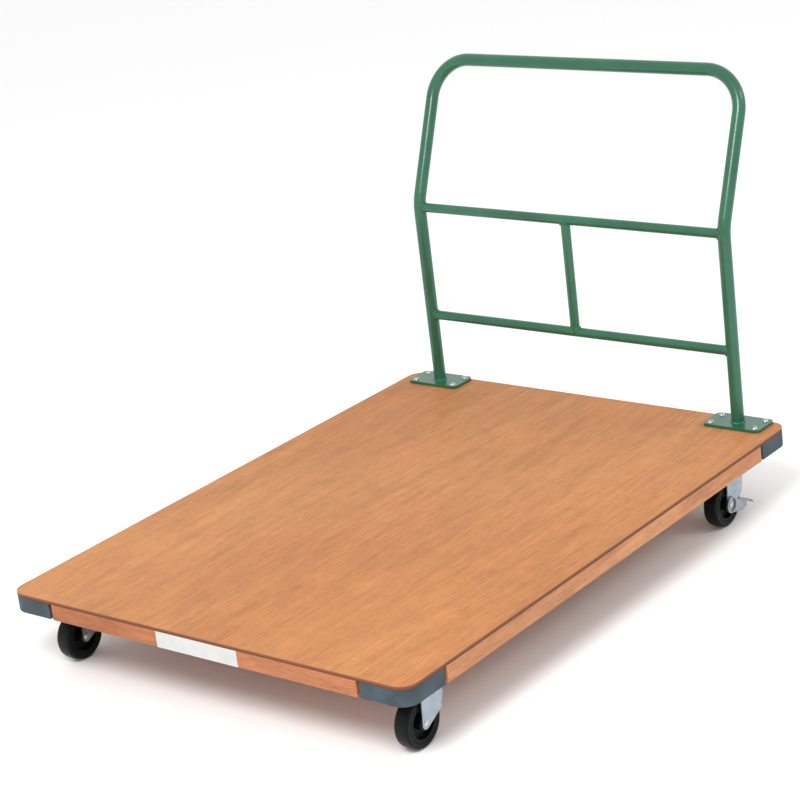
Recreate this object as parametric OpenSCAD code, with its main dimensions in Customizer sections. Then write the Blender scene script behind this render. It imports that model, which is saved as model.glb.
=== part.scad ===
// Flatbed platform truck: a plywood deck on a timber frame, a bolted-on tubular push handle, and four
// swivel casters. The two casters under the handle have foot brakes.
// Sizes are in millimetres. +X is the right-hand side seen from the open end, +Y points to the handle
// end and +Z is up. The origin is on the floor, under the middle of the truck's overall box.

/* [Deck] */
// Width of the deck, across the truck
deck_w = 900; // [780:10:1100]
// Length of the deck, from the open end to the handle end
deck_l = 1200; // [960:10:1500]
// Radius of the deck's corners in plan
corner_r = 30; // [20:1:40]
// Thickness of the plywood panel
panel_t = 7; // [5:0.5:15]
// Height of the frame timbers under the panel
rail_h = 30; // [24:1:60]
// Width of the two side rails
side_rail_w = 30; // [24:1:30]
// Width of the two end rails
end_rail_w = 80; // [76:1:100]
// Width of the boards that the casters are screwed to
caster_board_w = 110; // [106:1:130]
// Width of each cross joist between the caster boards
joist_w = 60; // [40:1:80]
// Number of cross joists
joist_count = 3; // [1:1:4]

/* [Corner guards] */
// Length of each leg of a guard, from the deck's corner
guard_leg = 97; // [80:1:110]
// Thickness of a guard's wall
guard_t = 8; // [5:0.5:8]
// Open groove between the end of a guard and the rail beside it
guard_gap = 6.5; // [0.5:0.5:8]

/* [Name plate] */
// Length of the plain plate on the open end
name_plate_w = 184; // [100:1:300]
// Thickness of the plate
name_plate_t = 0.5; // [0.3:0.1:2]

/* [Handle] */
// Distance from the deck's side to the centre line of the handle's leg
leg_inset = 89; // [85:0.5:200]
// Outside diameter of the bent hoop tube
hoop_d = 25.4; // [19:0.1:32]
// Wall of the hoop tube
hoop_wall = 1.6; // [1:0.1:3]
// Outside diameter of the rails and the post
rail_d = 19.1; // [12:0.1:25.4]
// Wall of the rails and the post
rail_wall = 1.4; // [1:0.1:2.5]
// Height of the hoop's top above the deck
handle_h = 679.5; // [560:0.5:900]
// Angle at which the upper part of the hoop leans back
lean = 22.5; // [5:0.5:30]
// Radius of the bend where the hoop starts to lean back
lean_r = 100; // [60:1:150]
// Height above the deck at which the lean starts
lean_h = 372; // [300:1:400]
// Radius of the hoop's two upper corners
hoop_corner_r = 80; // [50:1:120]
// Height of the low rail's centre above the deck
low_rail_h = 149.5; // [100:0.5:220]
// Height of the mid rail's centre above the deck
mid_rail_h = 382.3; // [300:0.1:400]

/* [Handle base plates] */
// Size of a base plate across the truck
foot_w = 125; // [100:1:130]
// Size of a base plate along the truck
foot_l = 65; // [60:1:70]
// Thickness of a base plate
foot_t = 6; // [4:0.5:10]
// Radius of a base plate's corners
foot_r = 11; // [4:0.5:15]
// Distance from the deck's end to the base plates
foot_setback = 1; // [0:0.5:5]
// Distance from a base plate's side to its bolt centres, across the truck
foot_bolt_inset_x = 14.5; // [9:0.5:25]
// Distance from a base plate's end to its bolt centres, along the truck
foot_bolt_inset_y = 11.5; // [9:0.5:12]
// Diameter of the bolts
foot_bolt_d = 6; // [5:1:8]

/* [Casters] */
// Diameter of the wheels
wheel_d = 90; // [75:1:130]
// Height from the top of the wheels to the deck's underside
wheel_room = 30; // [28:1:45]
// Width of the tyres
tyre_w = 29; // [20:0.5:32]
// Radial thickness of the tyres
tyre_t = 13; // [8:0.5:18]
// Distance from the swivel axis back to the axle
trail = 34; // [28:1:42]
// Distance from the side rail's inner face to the swivel axis
caster_inset_x = 33; // [33:1:80]
// Distance from the end rail's inner face to the swivel axis
caster_inset_y = 42; // [41:1:60]
// Diameter of the axle pins
axle_d = 8; // [6:1:10]
// Outside diameter of the sleeve that the wheel turns on
sleeve_d = 12; // [11:0.5:14]

/* [Caster plates] */
// Size of a top plate across the truck
top_plate_w = 66; // [64:1:68]
// Size of a top plate along the truck
top_plate_l = 94; // [90:1:100]
// Thickness of a top plate
top_plate_t = 3; // [2:0.5:4]
// Distance from a top plate's side to its screw centres, across the truck
plate_screw_inset_x = 10; // [9:0.5:12]
// Distance from a top plate's end to its screw centres, along the truck
plate_screw_inset_y = 11; // [9:0.5:14]
// Diameter of the screws
plate_screw_d = 8; // [6:1:8]
// Diameter of the kingpin
kingpin_d = 10; // [8:1:11]

/* [Forks and brakes] */
// Thickness of the fork's sheet
fork_t = 2.5; // [2:0.1:3]
// Gap between the tyre and each fork leg
fork_side_gap = 2.5; // [2:0.25:5]
// Thickness of the brake lever's sheet
lever_t = 1.5; // [1:0.1:2.5]
// Distance that the brake pedal reaches past the wheel
pedal_past = 35; // [27:1:45]

/* [Hidden] */
$fn = 64;

// Clearances
run_fit = 0.05;    // radial, between a pin and what turns on it
seat_fit = 0.02;   // radial, between a pin and the hole it is fixed in
bolt_fit = 0.25;   // radial, between a bolt and its hole
turn_gap = 0.3;    // between faces that slide past each other
past = 1;          // how far a cutting shape runs past the face that it cuts
tuck = 0.2;        // how far inside a round end the lines that run to it meet it
head_rim = 0.5;    // upright edge of a round head

// Colours
PLY = [0.80, 0.56, 0.38];
TIMBER = [0.74, 0.51, 0.38];
GUARD = [0.33, 0.39, 0.43];
GREEN = [0.20, 0.45, 0.34];
ZINC = [0.74, 0.78, 0.82];
BLACK = [0.09, 0.10, 0.10];

// Levels
caster_h = wheel_d + wheel_room;
deck_z = caster_h + rail_h;
top_z = deck_z + panel_t;
foot_z = top_z + foot_t;

// The hoop's centre line
leg_x = deck_w / 2 - leg_inset;
leg_y = deck_l / 2 - foot_setback - foot_l / 2;
lean_z = top_z + lean_h;
slope_y = leg_y + lean_r * (1 - cos(lean));
slope_z = lean_z + lean_r * sin(lean);
slope_len = (top_z + handle_h - hoop_d / 2 - slope_z) / cos(lean);
top_bar_y = slope_y + slope_len * sin(lean);
low_rail_z = top_z + low_rail_h;
mid_rail_z = top_z + mid_rail_h;
hoop_back_y = top_bar_y + hoop_d / 2;

// The overall box is centred on the origin
shift_y = (deck_l / 2 + name_plate_t - hoop_back_y) / 2;

// Where the pieces meet in plan
inner_x = deck_w / 2 - side_rail_w;
board_outer_y = deck_l / 2 - end_rail_w;
board_inner_y = board_outer_y - caster_board_w;
swivel_x = inner_x - caster_inset_x;
swivel_y = board_outer_y - caster_inset_y;
foot_bolt_hole_r = foot_bolt_d / 2 + bolt_fit;
foot_bolt_x = foot_w / 2 - foot_bolt_inset_x;
foot_bolt_y = foot_l / 2 - foot_bolt_inset_y;
FOOT_BOLTS = [
    for (side = [-1, 1], i = [-1, 1], j = [-1, 1])
        [side * leg_x + i * foot_bolt_x, leg_y + j * foot_bolt_y]
];

// How the bends in the hoop differ from its straight lengths
bend_thinning = 0.05;
bend_lap = 0.5;

// Handle fasteners
bolt_head_r = 6.5;
bolt_head_h = 4.4;
washer_r = 8;
washer_t = 1.6;
nut_h = 5;
nut_af = 10;
bolt_tail = 2;

// Caster stack, from the plate down to the rivet under the fork
plate_z = caster_h - top_plate_t;
race_t = 2;
ball_r = 2.5;
race_r = 20;
race_half_w = 5;
race_gap = 3;
ball_count = 14;
crown_z = plate_z - 2 * race_t - race_gap;
ball_z = crown_z + race_t + race_gap / 2;
boss_r = 12;
boss_gap = 2.3;
boss_floor = 3.7;
boss_z = crown_z + boss_gap;
rivet_head_r = 9;
rivet_head_h = 3.5;
rivet_recess = caster_h - boss_z - boss_floor;
kingpin_washer_r = 10;
kingpin_washer_t = 1.5;
rivet_tail_r = 8;
rivet_tail_h = 3;
crown_r = 27;
screw_head_af = 13;
screw_head_h = 5.3;
screw_cover = 5;
screw_bite = rail_h - screw_cover;
plate_r = 8;

// Wheel and fork
axle_z = wheel_d / 2;
axle_r = axle_d / 2;
fork_in = tyre_w / 2 + fork_side_gap;
fork_out = fork_in + fork_t;
fork_bend_r = 6;
leg_tip_r = 10;
leg_front_y = 4;
leg_back_y = trail + 16;
leg_back_drop = 30;
leg_back_lean = 1;
leg_knee = [trail + 8, 10];
hub_r = 13;
hub_half = fork_in - 1;
web_half = 4;
rim_t = 4;
rim_half = tyre_w / 2 - 1;
tyre_round = 5;
rim_r = wheel_d / 2 - tyre_t;
axle_head_r = 6.5;
axle_head_h = 2.5;

// Brake lever
lever_in = fork_out + turn_gap;
lever_out = lever_in + lever_t;
lever_hub_r = 16;
lever_lip = 2.5;
lever_lip_w = 3;
lever_shoulder = [12, -4];
lever_nose = [10, -16];
lever_chin = [6, -23];
lever_heel = [10, -26];
pedal_t = 2;
pedal_clear = 3;
pedal_in = wheel_d / 2 + pedal_clear;
pedal_drop = 16;
pedal_curl_r = 20;
pedal_curl = 60;

// Casters: position of each swivel axis and whether it has a brake
FL = [-swivel_x, -swivel_y];
FR = [swivel_x, -swivel_y];
RL = [-swivel_x, swivel_y];
RR = [swivel_x, swivel_y];
CASTERS = [FL, FR, RL, RR];

// ---------------------------------------------------------------- helpers

// Moves a piece from the deck-centred frame to the frame of the whole truck
module in_frame() {
    translate([0, shift_y, 0]) children();
}

// A rectangle centred on the origin with true round corners
module round_rect(size, r) {
    square([size[0] - 2 * r, size[1]], center = true);
    square([size[0], size[1] - 2 * r], center = true);
    for (i = [-1, 1], j = [-1, 1])
        translate([i * (size[0] / 2 - r), j * (size[1] / 2 - r)]) circle(r);
}

// The deck's outline, drawn in by a distance
module deck_outline(inset = 0) {
    round_rect([deck_w - 2 * inset, deck_l - 2 * inset], corner_r - inset);
}

module block(x0, x1, y0, y1, z0, z1) {
    translate([x0, y0, z0]) cube([x1 - x0, y1 - y0, z1 - z0]);
}

module drill(points, r, z0, z1) {
    for (p = points) translate([p[0], p[1], z0]) cylinder(r = r, h = z1 - z0);
}

module tube(r, wall, h) {
    difference() {
        cylinder(r = r, h = h);
        translate([0, 0, -past]) cylinder(r = r - wall, h = h + 2 * past);
    }
}

// A low round head with an upright rim, standing on z = 0
module dome(r, h) {
    cap = h - head_rim;
    ball = (r * r + cap * cap) / (2 * cap);
    intersection() {
        translate([0, 0, h - ball]) sphere(ball);
        cylinder(r = r, h = h);
    }
}

module hexagon(across_flats) {
    circle(r = across_flats / 2 / cos(30), $fn = 6);
}

// Lays a piece that was drawn along Z along X instead
module along_x() {
    rotate([0, 90, 0]) children();
}

// Draws a side view, given as Y and Z, with a width along X
module side_view(half_w) {
    rotate([90, 0, 90]) linear_extrude(2 * half_w, center = true) children();
}

// ---------------------------------------------------------------- deck

// The space at the four corners that the guards fill, with the grooves at their ends
module guard_pockets(leg, wall) {
    difference() {
        translate([0, 0, caster_h - past]) linear_extrude(rail_h + 2 * past) difference() {
            square([deck_w + 2 * past, deck_l + 2 * past], center = true);
            round_rect([deck_w - 2 * wall, deck_l - 2 * wall], corner_r - wall);
        }
        block(-deck_w, deck_w, leg - deck_l / 2, deck_l / 2 - leg, 0, top_z);
        block(leg - deck_w / 2, deck_w / 2 - leg, -deck_l, deck_l, 0, top_z);
    }
}

module corner_guard(sx, sy) {
    color(GUARD) in_frame() difference() {
        intersection() {
            translate([0, 0, caster_h]) linear_extrude(rail_h) difference() {
                deck_outline();
                deck_outline(guard_t);
            }
            translate([sx * (deck_w - guard_leg) / 2, sy * (deck_l - guard_leg) / 2, deck_z])
                cube([guard_leg, guard_leg, 2 * rail_h + past], center = true);
        }
        drill_for_handle();
    }
}

// The holes for the handle's bolts, through everything that they pass
module drill_for_handle() {
    drill(FOOT_BOLTS, foot_bolt_hole_r, caster_h - past, foot_z + past);
}

module deck_panel() {
    color(PLY) in_frame() difference() {
        translate([0, 0, deck_z]) linear_extrude(panel_t) deck_outline();
        drill_for_handle();
    }
}

module side_rail(side) {
    color(TIMBER) in_frame() difference() {
        block(
            min(side * inner_x, side * deck_w / 2), max(side * inner_x, side * deck_w / 2),
            -deck_l / 2, deck_l / 2, caster_h, deck_z
        );
        guard_pockets(guard_leg + guard_gap, guard_t);
        drill_for_handle();
    }
}

module end_rail(end) {
    color(TIMBER) in_frame() difference() {
        block(
            -inner_x, inner_x,
            min(end * board_outer_y, end * deck_l / 2), max(end * board_outer_y, end * deck_l / 2),
            caster_h, deck_z
        );
        guard_pockets(guard_leg + guard_gap, guard_t);
        drill_for_handle();
    }
}

module caster_board(end) {
    color(TIMBER) in_frame() difference() {
        block(
            -inner_x, inner_x,
            min(end * board_inner_y, end * board_outer_y), max(end * board_inner_y, end * board_outer_y),
            caster_h, deck_z
        );
        for (c = CASTERS)
            drill(screw_points(c), plate_screw_d / 2 + seat_fit, caster_h - past, caster_h + screw_bite);
        drill_for_handle();
    }
}

module mid_joists() {
    pitch = 2 * board_inner_y / (joist_count + 1);
    color(TIMBER) in_frame() for (i = [1 : joist_count])
        translate([-inner_x, i * pitch - board_inner_y - joist_w / 2, caster_h])
            cube([2 * inner_x, joist_w, rail_h]);
}

module name_plate() {
    color("white") in_frame() translate([-name_plate_w / 2, -deck_l / 2 - name_plate_t, caster_h])
        cube([name_plate_w, name_plate_t, rail_h]);
}

// ---------------------------------------------------------------- handle

// The tube's section: a ring, or a plain disc where the bore is 0
module section(r, bore) {
    difference() {
        circle(r);
        if (bore > 0) circle(bore);
    }
}

// A bend in the XY plane around Z, which starts on the X axis. Bending draws the wall a little thinner,
// and each end laps into the straight tube beside it.
module bend(angle, bend_radius, r, bore) {
    lap = atan(bend_lap / bend_radius);
    rotate([0, 0, -lap]) rotate_extrude(angle = angle + 2 * lap)
        translate([bend_radius, 0]) section(r - bend_thinning, bore > 0 ? bore + bend_thinning : 0);
}

// The hoop: two legs, a gentle bend in each, and above them the sloping uprights, corners and top bar.
// With a bore of 0 it is the solid shape that the rails' ends are cut to.
module hoop(r, bore = 0) {
    for (side = [-1, 1]) {
        translate([side * leg_x, leg_y, foot_z]) linear_extrude(lean_z - foot_z) section(r, bore);
        translate([side * leg_x, leg_y + lean_r, lean_z]) rotate([90, 0, -90]) bend(lean, lean_r, r, bore);
    }
    translate([0, slope_y, slope_z]) rotate([-lean, 0, 0]) {
        for (side = [0, 1]) mirror([side, 0, 0]) {
            translate([leg_x, 0, 0]) linear_extrude(slope_len - hoop_corner_r) section(r, bore);
            translate([leg_x - hoop_corner_r, 0, slope_len - hoop_corner_r]) rotate([90, 0, 0])
                bend(90, hoop_corner_r, r, bore);
        }
        translate([hoop_corner_r - leg_x, 0, slope_len]) along_x()
            linear_extrude(2 * (leg_x - hoop_corner_r)) section(r, bore);
    }
}

module handle_hoop() {
    color(GREEN) in_frame() hoop(hoop_d / 2, hoop_d / 2 - hoop_wall);
}

// Distance that the hoop has leaned back at height z: none on the leg, then the bend, then the slope
function lean_back(z) =
    z <= lean_z ? 0
    : z <= slope_z ? lean_r - sqrt(lean_r * lean_r - pow(z - lean_z, 2))
    : slope_y - leg_y + (z - slope_z) * tan(lean);

module cross_rod(z, r) {
    translate([-leg_x, leg_y + lean_back(z), z]) along_x() cylinder(r = r, h = 2 * leg_x);
}

module cross_rail(z) {
    color(GREEN) in_frame() difference() {
        cross_rod(z, rail_d / 2);
        cross_rod(z, rail_d / 2 - rail_wall);
        hoop(hoop_d / 2);
    }
}

module centre_post() {
    rise = mid_rail_z - low_rail_z;
    back = lean_back(mid_rail_z) - lean_back(low_rail_z);
    color(GREEN) in_frame() difference() {
        translate([0, leg_y + lean_back(low_rail_z), low_rail_z]) rotate([-atan(back / rise), 0, 0])
            tube(rail_d / 2, rail_wall, norm([back, rise]));
        cross_rod(low_rail_z, rail_d / 2);
        cross_rod(mid_rail_z, rail_d / 2);
    }
}

module base_plate(side) {
    color(GREEN) in_frame() difference() {
        translate([side * leg_x, leg_y, top_z]) linear_extrude(foot_t) round_rect([foot_w, foot_l], foot_r);
        drill_for_handle();
    }
}

module handle_bolts() {
    nut_z = caster_h - washer_t - nut_h;
    color(ZINC) in_frame() for (p = FOOT_BOLTS) translate([p[0], p[1], 0]) {
        translate([0, 0, foot_z]) dome(bolt_head_r, bolt_head_h);
        translate([0, 0, nut_z - bolt_tail]) cylinder(d = foot_bolt_d, h = foot_z - nut_z + bolt_tail);
    }
}

module handle_washers() {
    color(ZINC) in_frame() for (p = FOOT_BOLTS) translate([p[0], p[1], caster_h - washer_t])
        tube(washer_r, washer_r - foot_bolt_hole_r, washer_t);
}

module handle_nuts() {
    color(ZINC) in_frame() for (p = FOOT_BOLTS) translate([p[0], p[1], caster_h - washer_t - nut_h])
        difference() {
            linear_extrude(nut_h) hexagon(nut_af);
            translate([0, 0, -past]) cylinder(r = foot_bolt_d / 2 + seat_fit, h = nut_h + 2 * past);
        }
}

// ---------------------------------------------------------------- casters

function screw_points(c) = [
    for (i = [-1, 1], j = [-1, 1]) [
        c[0] + i * (top_plate_w / 2 - plate_screw_inset_x),
        c[1] + j * (top_plate_l / 2 - plate_screw_inset_y)
    ]
];

// Moves a piece drawn around a swivel axis to its caster
module at_caster(c) {
    in_frame() translate([c[0], c[1], 0]) children();
}

// Moves a piece drawn around an axle, with the truck's Y and Z, to its caster
module at_axle(c) {
    at_caster(c) translate([0, -trail, axle_z]) children();
}

// The ring that the swivel balls run in
module ball_groove() {
    translate([0, 0, ball_z]) rotate_extrude() translate([race_r, 0]) circle(ball_r + run_fit);
}

module race_ring(z) {
    translate([0, 0, z]) tube(race_r + race_half_w, 2 * race_half_w, race_t);
}

module caster_plate(c) {
    color(ZINC) at_caster(c) difference() {
        union() {
            translate([0, 0, plate_z]) linear_extrude(top_plate_t)
                round_rect([top_plate_w, top_plate_l], plate_r);
            race_ring(plate_z - race_t);
            translate([0, 0, boss_z]) cylinder(r = boss_r, h = plate_z - boss_z);
        }
        ball_groove();
        drill(screw_points([0, 0]), plate_screw_d / 2 + bolt_fit, plate_z - past, caster_h + past);
        translate([0, 0, boss_z - past]) cylinder(r = kingpin_d / 2 + seat_fit, h = caster_h);
        translate([0, 0, caster_h - rivet_recess])
            cylinder(r = rivet_head_r + seat_fit, h = rivet_recess + past);
    }
}

module kingpins() {
    head_z = caster_h - rivet_recess;
    tail_z = crown_z - fork_t - turn_gap - kingpin_washer_t;
    color(ZINC) for (c = CASTERS) at_caster(c) {
        translate([0, 0, head_z]) cylinder(r = rivet_head_r, h = rivet_head_h);
        translate([0, 0, tail_z]) cylinder(d = kingpin_d, h = head_z - tail_z);
        translate([0, 0, tail_z]) mirror([0, 0, 1]) dome(rivet_tail_r, rivet_tail_h);
    }
}

module kingpin_washers() {
    color(ZINC) for (c = CASTERS) at_caster(c)
        translate([0, 0, crown_z - fork_t - turn_gap - kingpin_washer_t])
            tube(kingpin_washer_r, kingpin_washer_r - kingpin_d / 2 - seat_fit, kingpin_washer_t);
}

module caster_screws() {
    color(ZINC) for (c = CASTERS, p = screw_points(c)) in_frame() translate([p[0], p[1], plate_z]) {
        mirror([0, 0, 1]) linear_extrude(screw_head_h) hexagon(screw_head_af);
        cylinder(d = plate_screw_d, h = top_plate_t + screw_bite - turn_gap);
    }
}

module swivel_balls(c) {
    color(ZINC) at_caster(c) for (i = [0 : ball_count - 1])
        rotate([0, 0, i * 360 / ball_count]) translate([race_r, 0, ball_z]) sphere(ball_r);
}

// Upper part of a channel seen from the end, as X and Z
module arch(half_w, top, bottom, r) {
    translate([-half_w, bottom]) square([2 * half_w, top - bottom - r]);
    translate([r - half_w, bottom]) square([2 * (half_w - r), top - bottom]);
    for (s = [-1, 1]) translate([s * (half_w - r), top - r]) circle(r);
}

// Where a line from p meets a round end of radius r around the origin. The line runs a hair inside the
// tangent, so that it crosses the circle cleanly.
function touch(p, r, side) =
    let(inner = r - tuck, a = atan2(p[1], p[0]) + side * acos(inner / norm(p)))
    inner * [cos(a), sin(a)];

// A fork leg seen from the side: a round end at the axle that widens up to the crown
module leg_outline() {
    crown = crown_z - axle_z;
    front = [-leg_front_y, crown];
    circle(leg_tip_r);
    polygon([
        touch(front, leg_tip_r, 1), front, [leg_back_y, crown],
        [leg_back_y - leg_back_lean, crown - leg_back_drop], leg_knee,
        touch(leg_knee, leg_tip_r, -1), [0, 0]
    ]);
}

module fork(c) {
    fork_low = axle_z - leg_tip_r - past;
    color(ZINC) at_caster(c) difference() {
        union() {
            intersection() {
                rotate([90, 0, 0]) linear_extrude(4 * trail, center = true) difference() {
                    arch(fork_out, crown_z, fork_low, fork_bend_r);
                    arch(fork_in, crown_z - fork_t, fork_low - past, fork_bend_r - fork_t);
                }
                translate([0, -trail, axle_z]) side_view(fork_out + past) leg_outline();
            }
            translate([0, 0, crown_z - fork_t]) cylinder(r = crown_r, h = fork_t);
            race_ring(crown_z);
        }
        ball_groove();
        translate([0, 0, crown_z - fork_t - past])
            cylinder(r = kingpin_d / 2 + run_fit, h = fork_t + 2 * past);
        translate([-fork_out - past, -trail, axle_z]) along_x()
            cylinder(r = axle_r + seat_fit, h = 2 * (fork_out + past));
    }
}

// The axle is headed at both ends, outside the fork or, with a brake, outside the lever
module axle_pin(c, braked) {
    reach = braked ? lever_out + turn_gap : fork_out;
    color(ZINC) at_axle(c) {
        translate([-reach, 0, 0]) along_x() cylinder(r = axle_r, h = 2 * reach);
        for (s = [0, 1]) mirror([s, 0, 0]) translate([reach, 0, 0]) along_x() dome(axle_head_r, axle_head_h);
    }
}

module axle_sleeve(c) {
    color(ZINC) at_axle(c) translate([-fork_in, 0, 0]) along_x()
        tube(sleeve_d / 2, sleeve_d / 2 - axle_r - seat_fit, 2 * fork_in);
}

// A ring around the axle between two radii
module wheel_ring(r0, r1, half_w) {
    translate([-half_w, 0, 0]) along_x() tube(r1, r1 - r0, 2 * half_w);
}

module wheel_core(c) {
    bore = sleeve_d / 2 + run_fit;
    color(BLACK) at_axle(c) {
        wheel_ring(bore, hub_r, hub_half);
        wheel_ring(bore + past, rim_r - past, web_half);
        wheel_ring(rim_r - rim_t, rim_r, rim_half);
    }
}

module tyre(c) {
    color(BLACK) at_axle(c) along_x() rotate_extrude() {
        translate([rim_r, -tyre_w / 2]) square([tyre_t - tyre_round, tyre_w]);
        translate([rim_r, tyre_round - tyre_w / 2]) square([tyre_t, tyre_w - 2 * tyre_round]);
        for (s = [-1, 1]) translate([wheel_d / 2 - tyre_round, s * (tyre_w / 2 - tyre_round)])
            circle(tyre_round);
    }
}

// A brake lever's arm seen from the side, with the axle at the origin
module lever_outline() {
    shoulder = [pedal_in - lever_shoulder[0], lever_shoulder[1]];
    heel = [pedal_in - lever_heel[0], lever_heel[1]];
    circle(lever_hub_r);
    polygon([
        touch(shoulder, lever_hub_r, 1), shoulder, [pedal_in + lever_nose[0], lever_nose[1]],
        [pedal_in + lever_chin[0], lever_chin[1]], heel, touch(heel, lever_hub_r, -1), [0, 0]
    ]);
}

// The pedal seen from the side: a sheet that curls down at its tip
module pedal_outline() {
    straight = pedal_past - pedal_clear - pedal_curl_r * sin(pedal_curl);
    far = 2 * pedal_curl_r;
    translate([pedal_in, -pedal_drop]) {
        square([straight, pedal_t]);
        translate([straight, pedal_t - pedal_curl_r]) intersection() {
            difference() {
                circle(pedal_curl_r);
                circle(pedal_curl_r - pedal_t);
            }
            polygon([[0, 0], [0, far], [far, far], far * [sin(pedal_curl), cos(pedal_curl)]]);
        }
    }
}

module brake_lever(c) {
    color(ZINC) at_axle(c) difference() {
        union() {
            difference() {
                side_view(lever_out) lever_outline();
                side_view(lever_in) square(4 * wheel_d, center = true);
            }
            side_view(lever_out) pedal_outline();
            for (s = [0, 1]) mirror([s, 0, 0]) translate([lever_in, 0, 0]) along_x()
                tube(lever_hub_r, lever_lip_w, lever_t + lever_lip);
        }
        translate([-lever_out - past, 0, 0]) along_x()
            cylinder(r = axle_r + run_fit, h = 2 * (lever_out + past));
    }
}

// ---------------------------------------------------------------- assembly

deck_panel();
side_rail(-1);  // side_rail_left
side_rail(1);  // side_rail_right
end_rail(-1);  // front_rail
end_rail(1);  // rear_rail
caster_board(-1);  // front_caster_board
caster_board(1);  // rear_caster_board
mid_joists();
corner_guard(-1, -1);  // corner_guard_front_left
corner_guard(1, -1);  // corner_guard_front_right
corner_guard(-1, 1);  // corner_guard_rear_left
corner_guard(1, 1);  // corner_guard_rear_right
name_plate();
handle_hoop();
cross_rail(mid_rail_z);  // mid_rail
cross_rail(low_rail_z);  // low_rail
centre_post();
base_plate(-1);  // base_plate_left
base_plate(1);  // base_plate_right
handle_bolts();
handle_washers();
handle_nuts();
caster_plate(FL);  // caster_plate_fl
caster_plate(FR);  // caster_plate_fr
caster_plate(RL);  // caster_plate_rl
caster_plate(RR);  // caster_plate_rr
kingpins();
kingpin_washers();
caster_screws();
fork(FL);  // fork_fl
fork(FR);  // fork_fr
fork(RL);  // fork_rl
fork(RR);  // fork_rr
swivel_balls(FL);  // swivel_balls_fl
swivel_balls(FR);  // swivel_balls_fr
swivel_balls(RL);  // swivel_balls_rl
swivel_balls(RR);  // swivel_balls_rr
axle_pin(FL, false);  // axle_pin_fl
axle_pin(FR, false);  // axle_pin_fr
axle_pin(RL, true);  // axle_pin_rl
axle_pin(RR, true);  // axle_pin_rr
axle_sleeve(FL);  // axle_sleeve_fl
axle_sleeve(FR);  // axle_sleeve_fr
axle_sleeve(RL);  // axle_sleeve_rl
axle_sleeve(RR);  // axle_sleeve_rr
wheel_core(FL);  // wheel_core_fl
wheel_core(FR);  // wheel_core_fr
wheel_core(RL);  // wheel_core_rl
wheel_core(RR);  // wheel_core_rr
tyre(FL);  // tyre_fl
tyre(FR);  // tyre_fr
tyre(RL);  // tyre_rl
tyre(RR);  // tyre_rr
brake_lever(RL);  // brake_lever_rl
brake_lever(RR);  // brake_lever_rr
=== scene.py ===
"""Looks of the flatbed platform truck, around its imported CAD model. Metres, in the model's own frame."""
import math

import bpy
from mathutils import Matrix, Vector


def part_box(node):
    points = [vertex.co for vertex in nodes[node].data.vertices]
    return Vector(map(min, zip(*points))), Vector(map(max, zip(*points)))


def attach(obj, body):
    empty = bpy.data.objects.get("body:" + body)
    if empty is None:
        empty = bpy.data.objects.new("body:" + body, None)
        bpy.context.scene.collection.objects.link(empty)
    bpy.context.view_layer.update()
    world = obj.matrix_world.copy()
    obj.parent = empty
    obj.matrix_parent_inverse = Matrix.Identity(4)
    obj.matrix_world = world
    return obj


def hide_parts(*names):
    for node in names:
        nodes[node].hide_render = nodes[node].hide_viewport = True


MM = 0.001

# The photograph's point of view
AIM = (0.0546, -0.1087, 0.3933)
DISTANCE = 4.2
AZIMUTH = 40.334
ELEVATION = 19.631
ROLL = -7.213
LENS = 106.137
SENSOR = 36.0

CORNERS = ("fl", "fr", "rl", "rr")
BRAKED = ("rl", "rr")
SIDES = ("left", "right")

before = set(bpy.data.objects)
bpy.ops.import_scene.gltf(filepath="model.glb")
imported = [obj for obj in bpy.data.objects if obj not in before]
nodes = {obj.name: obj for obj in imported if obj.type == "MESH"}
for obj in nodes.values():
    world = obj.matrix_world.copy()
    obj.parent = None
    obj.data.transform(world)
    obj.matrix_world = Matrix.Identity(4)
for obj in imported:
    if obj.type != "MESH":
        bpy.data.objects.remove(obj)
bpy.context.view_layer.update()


# ---------------------------------------------------------------- small helpers

def srgb(r, g, b):
    """A colour given as it looks on screen, 0 to 255, as the linear colour of a shader."""
    def channel(value):
        v = value / 255
        return v / 12.92 if v <= 0.04045 else ((v + 0.055) / 1.055) ** 2.4
    return (channel(r), channel(g), channel(b), 1.0)


def middle(node):
    low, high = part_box(node)
    return (low + high) / 2


def half(node):
    low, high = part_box(node)
    return (high - low) / 2


def piece_from(name, verts, faces, body, material, smooth=True):
    mesh = bpy.data.meshes.new(name)
    mesh.from_pydata([tuple(v) for v in verts], [], faces)
    mesh.validate()
    mesh.polygons.foreach_set("use_smooth", [smooth] * len(mesh.polygons))
    mesh.materials.append(material)
    obj = bpy.data.objects.new(name, mesh)
    bpy.context.scene.collection.objects.link(obj)
    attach(obj, body)
    return obj


# ---------------------------------------------------------------- material nodes

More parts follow.
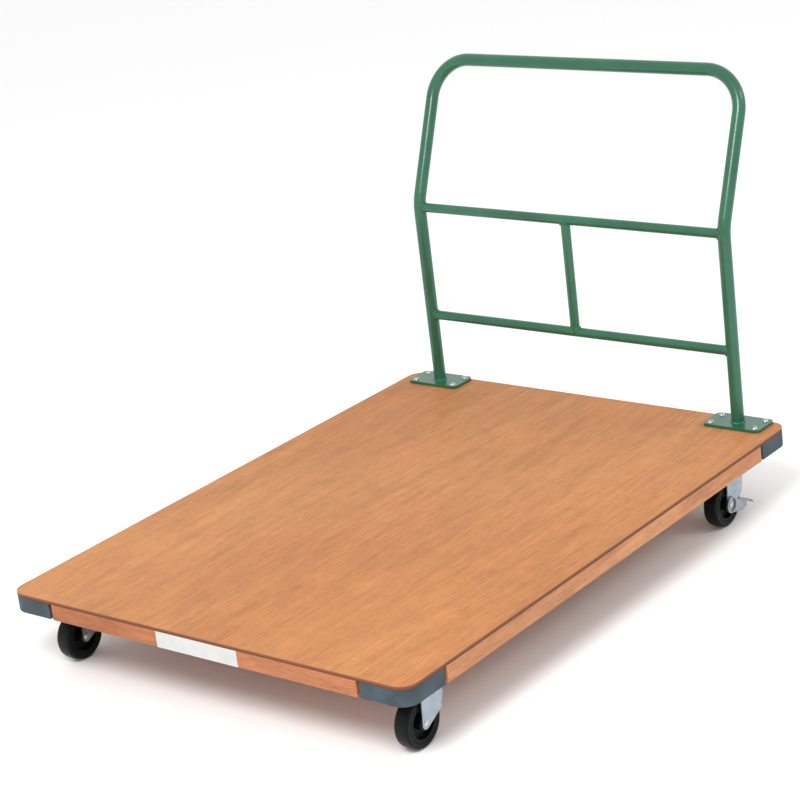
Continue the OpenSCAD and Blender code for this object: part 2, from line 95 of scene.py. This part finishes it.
class Nodes:
    """Adds nodes to one material, with its shader at hand."""

    def __init__(self, name, roughness=0.5, metallic=0.0, specular=0.5, coat=0.0, coat_roughness=0.1):
        self.material = bpy.data.materials.new(name)
        self.material.use_nodes = True
        self.tree = self.material.node_tree
        self.shader = self.tree.nodes["Principled BSDF"]
        self.set("Roughness", roughness)
        self.set("Metallic", metallic)
        self.set("Specular IOR Level", specular)
        self.set("Coat Weight", coat)
        self.set("Coat Roughness", coat_roughness)
        self.coords = self.add("ShaderNodeTexCoord").outputs["Object"]

    def add(self, kind, **settings):
        node = self.tree.nodes.new(kind)
        for key, value in settings.items():
            setattr(node, key, value)
        return node

    def link(self, source, target):
        self.tree.links.new(source, target)

    def set(self, socket, value):
        self.shader.inputs[socket].default_value = value

    def drive(self, socket, source):
        self.link(source, self.shader.inputs[socket])

    def stretched(self, scale, turn=(0, 0, 0)):
        mapping = self.add("ShaderNodeMapping")
        mapping.inputs["Scale"].default_value = scale
        mapping.inputs["Rotation"].default_value = turn
        self.link(self.coords, mapping.inputs["Vector"])
        return mapping.outputs["Vector"]

    def noise(self, vector, scale=1.0, detail=3.0, rough=0.5, distort=0.0):
        node = self.add("ShaderNodeTexNoise")
        node.inputs["Scale"].default_value = scale
        node.inputs["Detail"].default_value = detail
        node.inputs["Roughness"].default_value = rough
        node.inputs["Distortion"].default_value = distort
        self.link(vector, node.inputs["Vector"])
        return node.outputs["Fac"]

    def ramp(self, value, stops, mode="LINEAR"):
        """stops: (place, colour or grey level) pairs."""
        node = self.add("ShaderNodeValToRGB")
        node.color_ramp.interpolation = mode
        points = node.color_ramp.elements
        while len(points) < len(stops):
            points.new(0.5)
        for point, (place, colour) in zip(points, stops):
            point.position = place
            point.color = colour if hasattr(colour, "__len__") else (colour, colour, colour, 1)
        self.link(value, node.inputs["Fac"])
        return node.outputs["Color"]

    def mix(self, share, first, second, how="MIX"):
        node = self.add("ShaderNodeMix", data_type="RGBA", blend_type=how)
        for socket, value in ((0, share), (6, first), (7, second)):
            if isinstance(value, bpy.types.NodeSocket):
                self.link(value, node.inputs[socket])
            else:
                node.inputs[socket].default_value = value
        return node.outputs[2]

    def math(self, how, *values):
        node = self.add("ShaderNodeMath", operation=how)
        for socket, value in zip(node.inputs, values):
            if isinstance(value, bpy.types.NodeSocket):
                self.link(value, socket)
            else:
                socket.default_value = value
        return node.outputs[0]

    def split(self, vector):
        node = self.add("ShaderNodeSeparateXYZ")
        self.link(vector, node.inputs[0])
        return node.outputs

    def normal(self):
        """The face's own direction, in the object's frame."""
        geometry = self.add("ShaderNodeNewGeometry")
        turn = self.add(
            "ShaderNodeVectorTransform", vector_type="NORMAL", convert_from="WORLD", convert_to="OBJECT")
        self.link(geometry.outputs["True Normal"], turn.inputs[0])
        return turn.outputs[0]

    def bump(self, height, strength, distance, under=None):
        node = self.add("ShaderNodeBump")
        node.inputs["Strength"].default_value = strength
        node.inputs["Distance"].default_value = distance
        self.link(height, node.inputs["Height"])
        if under:
            self.link(under, node.inputs["Normal"])
        return node.outputs["Normal"]

    def roughness_between(self, value, low, high):
        node = self.add("ShaderNodeMapRange")
        node.inputs["To Min"].default_value = low
        node.inputs["To Max"].default_value = high
        self.link(value, node.inputs["Value"])
        self.drive("Roughness", node.outputs["Result"])


# ---------------------------------------------------------------- materials

# Streaks of the grain: how many to a metre across and along it, how far they wander and how dark they are
STREAKS = (
    (5.0, 0.8, 0.8, 0.10),
    (30.0, 4.5, 1.2, 0.13),
    (140.0, 7.0, 0.6, 0.13),
    (430.0, 32.0, 0.2, 0.12),
)


def wood_grain(kit, along, colour, strength=1.0):
    """Straight grain along one axis: soft streaks of several widths, round mottling and short dark pores."""
    def stretch(fine, coarse):
        return kit.stretched(tuple(coarse if axis == along else fine for axis in "xyz"))
    for fine, coarse, wander, depth in STREAKS:
        streak = kit.noise(stretch(fine, coarse), 1.0, 3.0, 0.55, wander)
        shade = kit.ramp(streak, [(0.34, 1 - depth * strength), (0.62, 1.0)])
        colour = kit.mix(1.0, colour, shade, "MULTIPLY")
    mottle = kit.noise(kit.stretched((1, 1, 1)), 26.0, 4.0, 0.6)
    colour = kit.mix(1.0, colour, kit.ramp(mottle, [(0.36, 1 - 0.07 * strength), (0.6, 1.0)]), "MULTIPLY")
    pores = kit.noise(stretch(900.0, 50.0), 1.0, 1.0, 0.5)
    flecks = kit.ramp(pores, [(0.30, 1 - 0.25 * strength), (0.40, 1.0)])
    return kit.mix(1.0, colour, flecks, "MULTIPLY"), streak, pores


def finish_wood(kit, colour, lines, pores):
    kit.drive("Base Color", colour)
    kit.roughness_between(lines, 0.42, 0.58)
    fine = kit.bump(pores, 0.25, 0.0002)
    kit.drive("Normal", kit.bump(lines, 0.18, 0.0003, fine))
    return kit.material


def plywood():
    """The deck panel: a lauan face, and plies that show around its edge."""
    kit = Nodes("plywood", specular=0.14, coat=0.03, coat_roughness=0.35)
    warm = kit.noise(kit.stretched((2.6, 1.2, 1.0)), 1.0, 2.0)
    face = kit.ramp(warm, [(0.35, srgb(201, 139, 88)), (0.65, srgb(194, 129, 79))])
    face, lines, pores = wood_grain(kit, "y", face)
    low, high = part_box("deck_panel")
    height = kit.math("DIVIDE", kit.math("SUBTRACT", kit.split(kit.coords)[2], low.z), high.z - low.z)
    plies = kit.ramp(height, [
        (0.0, srgb(104, 62, 40)), (0.17, srgb(84, 48, 31)), (0.22, srgb(112, 68, 45)),
        (0.50, srgb(122, 76, 50)), (0.78, srgb(90, 52, 34)), (0.83, srgb(160, 106, 72)),
    ], "CONSTANT")
    edge_lines = kit.ramp(lines, [(0.3, 0.75), (0.7, 1.0)])
    edge = kit.mix(0.5, plies, edge_lines, "MULTIPLY")
    flat = kit.math("ABSOLUTE", kit.split(kit.normal())[2])
    colour = kit.mix(kit.ramp(flat, [(0.45, 0.0), (0.75, 1.0)]), edge, face)
    return finish_wood(kit, colour, lines, pores)


def timber(name, along, pale, dark):
    kit = Nodes(name, specular=0.2)
    tone = kit.noise(kit.stretched((4.0, 4.0, 4.0)), 1.0, 2.0)
    colour = kit.ramp(tone, [(0.35, dark), (0.65, pale)])
    colour, lines, pores = wood_grain(kit, along, colour, 1.2)
    return finish_wood(kit, colour, lines, pores)


def moulded(name, colour, roughness, grain_scale, depth, spread=0.12, specular=0.3):
    """Moulded plastic or rubber: a fine matt grain with slow changes of tone and gloss."""
    kit = Nodes(name, specular=specular)
    tone = kit.noise(kit.stretched((1, 1, 1)), 22.0, 4.0)
    darker = tuple(c * (1 - spread) for c in colour[:3]) + (1,)
    lighter = tuple(c * (1 + spread) for c in colour[:3]) + (1,)
    kit.drive("Base Color", kit.ramp(tone, [(0.35, darker), (0.65, lighter)]))
    kit.roughness_between(tone, roughness - 0.07, roughness + 0.07)
    grain = kit.noise(kit.stretched((1, 1, 1)), grain_scale, 2.0)
    kit.drive("Normal", kit.bump(grain, 0.3, depth))
    return kit.material


def paint():
    """Glossy green enamel over steel, with slight orange peel and a few dulled patches."""
    kit = Nodes("green_paint", specular=0.4, coat=0.45, coat_roughness=0.1)
    tone = kit.noise(kit.stretched((1, 1, 1)), 9.0, 4.0)
    kit.drive("Base Color", kit.ramp(tone, [
        (0.3, srgb(16, 80, 55)), (0.55, srgb(24, 90, 63)), (0.75, srgb(32, 98, 70))]))
    kit.roughness_between(tone, 0.24, 0.4)
    peel = kit.noise(kit.stretched((1, 1, 1)), 420.0, 2.0)
    kit.drive("Normal", kit.bump(peel, 0.12, 0.0004))
    return kit.material


def plated(name, colour, rough_low, rough_high):
    """Zinc-plated steel: soft spangles, fine rolling marks and uneven gloss."""
    kit = Nodes(name, metallic=1.0)
    cloud = kit.noise(kit.stretched((1, 1, 1)), 60.0, 5.0, 0.6)
    darker = tuple(c * 0.78 for c in colour[:3]) + (1,)
    kit.drive("Base Color", kit.ramp(cloud, [(0.35, darker), (0.6, colour)]))
    kit.roughness_between(cloud, rough_low, rough_high)
    marks = kit.noise(kit.stretched((1, 1, 8)), 240.0, 2.0)
    kit.drive("Normal", kit.bump(marks, 0.1, 0.0002))
    return kit.material


def enamelled_white():
    kit = Nodes("white_plate", specular=0.5, coat=0.3)
    tone = kit.noise(kit.stretched((1, 1, 1)), 30.0, 3.0)
    kit.drive("Base Color", kit.ramp(tone, [(0.3, srgb(182, 183, 180)), (0.7, srgb(194, 194, 192))]))
    kit.roughness_between(tone, 0.32, 0.45)
    kit.drive("Normal", kit.bump(tone, 0.05, 0.0002))
    return kit.material


MATERIALS = {
    "plywood": plywood(),
    # The rails and boards along X get darker colours than the side rails along Y. Both are one timber, so
    # the darker tone is painted shade.
    "timber_x_painted_shade": timber("timber_x_painted_shade", "x", srgb(190, 122, 82), srgb(176, 107, 70)),
    "timber_y": timber("timber_y", "y", srgb(208, 146, 102), srgb(197, 131, 89)),
    "guard": moulded("guard_vinyl", srgb(58, 71, 78), 0.5, 900.0, 0.0002, 0.25, 0.22),
    "white_plate": enamelled_white(),
    "green_paint": paint(),
    "bright_zinc": plated("bright_zinc", srgb(196, 198, 198), 0.2, 0.36),
    "zinc": plated("zinc", srgb(160, 174, 184), 0.28, 0.48),
    # The brake levers' zinc is a little darker and greyer than the fork's zinc. This is painted shade, the
    # levers drawn as if lying in shade.
    "lever_zinc_painted_shade": plated("lever_zinc_painted_shade", srgb(160, 166, 170), 0.3, 0.5),
    "wheel_core": moulded("wheel_plastic", srgb(12, 14, 14), 0.42, 700.0, 0.0002, 0.2, 0.15),
    "tyre": moulded("tyre_rubber", srgb(9, 16, 14), 0.42, 1200.0, 0.0002, 0.25, 0.16),
}

NODE_MATERIALS = {
    "plywood": ["deck_panel"],
    "timber_x_painted_shade": ["front_rail", "rear_rail", "front_caster_board", "rear_caster_board", "mid_joists"],
    "timber_y": ["side_rail_left", "side_rail_right"],
    "guard": [f"corner_guard_{end}_{side}" for end in ("front", "rear") for side in SIDES],
    "white_plate": ["name_plate"],
    "green_paint": ["handle_hoop", "mid_rail", "low_rail", "centre_post"]
    + [f"base_plate_{side}" for side in SIDES],
    "bright_zinc": ["handle_bolts", "handle_washers", "handle_nuts", "caster_screws"]
    + [f"axle_pin_{c}" for c in CORNERS] + [f"swivel_balls_{c}" for c in CORNERS],
    "zinc": ["kingpins", "kingpin_washers"]
    + [f"{part}_{c}" for part in ("caster_plate", "fork", "axle_sleeve") for c in CORNERS],
    "lever_zinc_painted_shade": [f"brake_lever_{c}" for c in BRAKED],
    "wheel_core": [f"wheel_core_{c}" for c in CORNERS],
    "tyre": [f"tyre_{c}" for c in CORNERS],
}

# Width of the softened edges, in millimetres
EDGES = {
    "plywood": 0.8, "timber_x_painted_shade": 0.6, "timber_y": 0.6, "guard": 1.2, "white_plate": 0.15,
    "green_paint": 0.7, "zinc": 0.4, "lever_zinc_painted_shade": 0.3,
}


def dress_nodes():
    for material, names in NODE_MATERIALS.items():
        for name in names:
            mesh = nodes[name].data
            mesh.materials.clear()
            mesh.materials.append(MATERIALS[material])


# The bevels' settings: points closer than this are one, faces flatter than this are one, and edges sharper
# than this are softened (metres, and degrees)
WELD_REACH = 0.00001
FLAT_ANGLE = 1
SHARP_ANGLE = 50
BEVEL_STEPS = 2
NORMAL_WEIGHT = 80


def soften_edges():
    """Small bevels catch the light along the edges that a sheet, board or moulding has."""
    for material, width in EDGES.items():
        for name in NODE_MATERIALS[material]:
            obj = nodes[name]
            obj.modifiers.new("weld", "WELD").merge_threshold = WELD_REACH
            flat = obj.modifiers.new("flat", "DECIMATE")
            flat.decimate_type = "DISSOLVE"
            flat.angle_limit = math.radians(FLAT_ANGLE)
            bevel = obj.modifiers.new("bevel", "BEVEL")
            bevel.width = width * MM
            bevel.segments = BEVEL_STEPS
            bevel.limit_method = "ANGLE"
            bevel.angle_limit = math.radians(SHARP_ANGLE)
            bevel.use_clamp_overlap = True
            obj.modifiers.new("shade", "WEIGHTED_NORMAL").weight = NORMAL_WEIGHT


# ---------------------------------------------------------------- swept and turned pieces

def sweep(points, radii, sides=10):
    """A closed tube along a ring of points: its vertices and faces."""
    count = len(points)
    centre = sum(points, Vector()) / count
    verts, faces = [], []
    for i, point in enumerate(points):
        ahead = (points[(i + 1) % count] - points[i - 1]).normalized()
        out = (point - centre).normalized()
        out = (out - ahead * out.dot(ahead)).normalized()
        up = ahead.cross(out)
        for k in range(sides):
            angle = 2 * math.pi * k / sides
            verts.append(point + radii[i] * (out * math.cos(angle) + up * math.sin(angle)))
    for i in range(count):
        for k in range(sides):
            a, b = i * sides + k, i * sides + (k + 1) % sides
            c, d = (i + 1) % count * sides + (k + 1) % sides, (i + 1) % count * sides + k
            faces.append((a, b, c, d))
    return verts, faces


WELD_R = 2.4 * MM
WELD_STEPS = 96
WELD_RIPPLES = 24
RIPPLE_DEPTH = 0.10
WAVE_DEPTH = 0.06


def weld(name, curve):
    """A rippled weld bead along the closed curve, a function of the angle."""
    turns = [2 * math.pi * i / WELD_STEPS for i in range(WELD_STEPS)]
    radii = [
        WELD_R * (1 + RIPPLE_DEPTH * math.sin(WELD_RIPPLES * a) + WAVE_DEPTH * math.sin(3 * a + 1))
        for a in turns
    ]
    verts, faces = sweep([curve(a) for a in turns], radii)
    return piece_from(name, verts, faces, "chassis", MATERIALS["green_paint"])


def weld_handle():
    """Beads where the rails meet the legs, the post meets the rails and the legs meet their plates."""
    reach = half("handle_hoop").x
    for side, sign in zip(SIDES, (-1, 1)):
        foot = middle(f"base_plate_{side}")
        leg_r = reach - abs(foot.x)
        foot_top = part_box(f"base_plate_{side}")[1].z
        weld(f"weld_foot_{side}", lambda a: Vector(
            (foot.x + leg_r * math.cos(a), foot.y + leg_r * math.sin(a), foot_top)))
        for rail in ("low_rail", "mid_rail"):
            centre, r = middle(rail), half(rail).z
            weld(f"weld_{rail}_{side}", lambda a: Vector((
                foot.x - sign * math.sqrt(leg_r ** 2 - (r * math.cos(a)) ** 2),
                centre.y + r * math.cos(a), centre.z + r * math.sin(a))))
    post, post_r = middle("centre_post"), half("centre_post").x
    for rail, sign in (("low_rail", 1), ("mid_rail", -1)):
        centre, r = middle(rail), half(rail).z
        weld(f"weld_post_{rail}", lambda a: Vector((
            post.x + post_r * math.cos(a), centre.y + post_r * math.sin(a),
            centre.z + sign * math.sqrt(max(r ** 2 - (post_r * math.sin(a)) ** 2, 0)))))


def turned(name, profile, centre, body, material, steps=96):
    """A closed profile of (radius, distance along X) pairs turned around the X axis through centre."""
    verts, faces = [], []
    count = len(profile)
    for i in range(steps):
        angle = 2 * math.pi * i / steps
        for radius, along in profile:
            verts.append(centre + Vector((along, radius * math.cos(angle), radius * math.sin(angle))))
    for i in range(steps):
        for k in range(count):
            a, b = i * count + k, i * count + (k + 1) % count
            c, d = (i + 1) % steps * count + (k + 1) % count, (i + 1) % steps * count + k
            faces.append((a, b, c, d))
    return piece_from(name, verts, faces, body, material)


def mirrored(one_side):
    """A closed profile from its half with positive distances, listed from the tread's middle inwards."""
    return one_side + [(radius, -along) for radius, along in reversed(one_side)]


def arc(radius, along, r, start, end, steps=6):
    return [
        (radius + r * math.cos(math.radians(start + (end - start) * i / steps)),
         along + r * math.sin(math.radians(start + (end - start) * i / steps)))
        for i in range(steps + 1)
    ]


TYRE_ROUND = 4.5 * MM
TYRE_CROWN = 0.5 * MM
RING_PLACE = 0.62            # of the way from the rim to the tread
RING_HEIGHT = 0.5 * MM
RING_TOP = 0.9 * MM          # half the width of the raised ring's level top
RING_FOOT = 1.6 * MM
GROOVE = (3.2, 2.8, 2.0, 1.6)    # mm from the rim: outer edge, floor, floor, inner edge
TYRE_SPLIT = 40              # degrees


def tyre_profile(outer, inner, half_w):
    """Crowned tread, round shoulders and a side wall with a raised ring and a fine groove."""
    ring_r = inner + RING_PLACE * (outer - inner)
    side = half_w - RING_HEIGHT
    floor = side - RING_TOP
    groove = [(inner + out * MM, along) for out, along in zip(GROOVE, (side, floor, floor, side))]
    shoulder = arc(outer - TYRE_CROWN - TYRE_ROUND, side - TYRE_ROUND, TYRE_ROUND, 0, 90)
    return mirrored(
        [(outer, 0.2 * MM), (outer - TYRE_CROWN * 0.2, 0.4 * half_w)]
        + shoulder
        + [(ring_r + RING_FOOT, side), (ring_r + RING_TOP, half_w),
           (ring_r - RING_TOP, half_w), (ring_r - RING_FOOT, side)]
        + groove
        + [(inner + 0.3 * MM, side), (inner, floor)]
    )


def rim_radius(node):
    """The CAD tyre's own inner radius."""
    centre = middle(node)
    return min(math.hypot(v.co.y - centre.y, v.co.z - centre.z) for v in nodes[node].data.vertices)


def turn_tyres():
    for corner in CORNERS:
        node = f"tyre_{corner}"
        size = half(node)
        rim_r = rim_radius(node)
        profile = tyre_profile(size.z, rim_r, size.x)
        tyre = turned(
            f"tread_{corner}", profile, middle(node), f"wheel_{corner}", MATERIALS["tyre"])
        sharp = tyre.modifiers.new("sharp", "EDGE_SPLIT")
        sharp.split_angle = math.radians(TYRE_SPLIT)
        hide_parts(node)


# ---------------------------------------------------------------- stage

FLOOR_REACH = 30.0

# Soft lights: name, place, width of the disc (m) and power (W)
LIGHTS = (
    ("key", (1.0, -2.4, 2.8), 1.4, 85),
    ("rim", (3.4, 1.6, 3.0), 1.0, 26),
)
LIT_POINT = (0, 0, 0.3)


def plain_floor():
    paper = bpy.data.materials.new("floor_paper")
    paper.use_nodes = True
    shader = paper.node_tree.nodes["Principled BSDF"]
    shader.inputs["Base Color"].default_value = srgb(248, 248, 248)
    shader.inputs["Roughness"].default_value = 0.95
    shader.inputs["Specular IOR Level"].default_value = 0.1
    mesh = bpy.data.meshes.new("floor")
    corners = [(x * FLOOR_REACH, y * FLOOR_REACH, 0) for x, y in ((-1, -1), (1, -1), (1, 1), (-1, 1))]
    mesh.from_pydata(corners, [], [(0, 1, 2, 3)])
    mesh.materials.append(paper)
    floor = bpy.data.objects.new("floor", mesh)
    bpy.context.scene.collection.objects.link(floor)


def soft_light(name, place, size, watts):
    data = bpy.data.lights.new(name, "AREA")
    data.shape = "DISK"
    data.size = size
    data.energy = watts
    lamp = bpy.data.objects.new(name, data)
    lamp.location = place
    lamp.rotation_mode = "QUATERNION"
    lamp.rotation_quaternion = (Vector(LIT_POINT) - Vector(place)).to_track_quat("-Z", "Y")
    bpy.context.scene.collection.objects.link(lamp)


def light_stage():
    world = bpy.data.worlds.new("studio")
    world.use_nodes = True
    background = world.node_tree.nodes["Background"]
    background.inputs["Color"].default_value = (1.0, 1.0, 1.0, 1.0)
    background.inputs["Strength"].default_value = 1.0
    bpy.context.scene.world = world
    for light in LIGHTS:
        soft_light(*light)
    bpy.context.scene.view_settings.view_transform = "Standard"


def place_camera():
    a, e, roll = (math.radians(v) for v in (AZIMUTH, ELEVATION, ROLL))
    back = Vector((math.sin(a) * math.cos(e), -math.cos(a) * math.cos(e), math.sin(e)))
    level = Vector((math.cos(a), math.sin(a), 0))
    above = back.cross(level)
    right = level * math.cos(roll) + above * math.sin(roll)
    up = back.cross(right)
    data = bpy.data.cameras.new("camera")
    data.lens = LENS
    data.sensor_width = SENSOR
    camera = bpy.data.objects.new("camera", data)
    turn = Matrix((right, up, back)).transposed().to_4x4()
    camera.matrix_world = Matrix.Translation(Vector(AIM) + back * DISTANCE) @ turn
    bpy.context.scene.collection.objects.link(camera)
    bpy.context.scene.camera = camera


place_camera()
plain_floor()
light_stage()
dress_nodes()
soften_edges()
weld_handle()
turn_tyres()
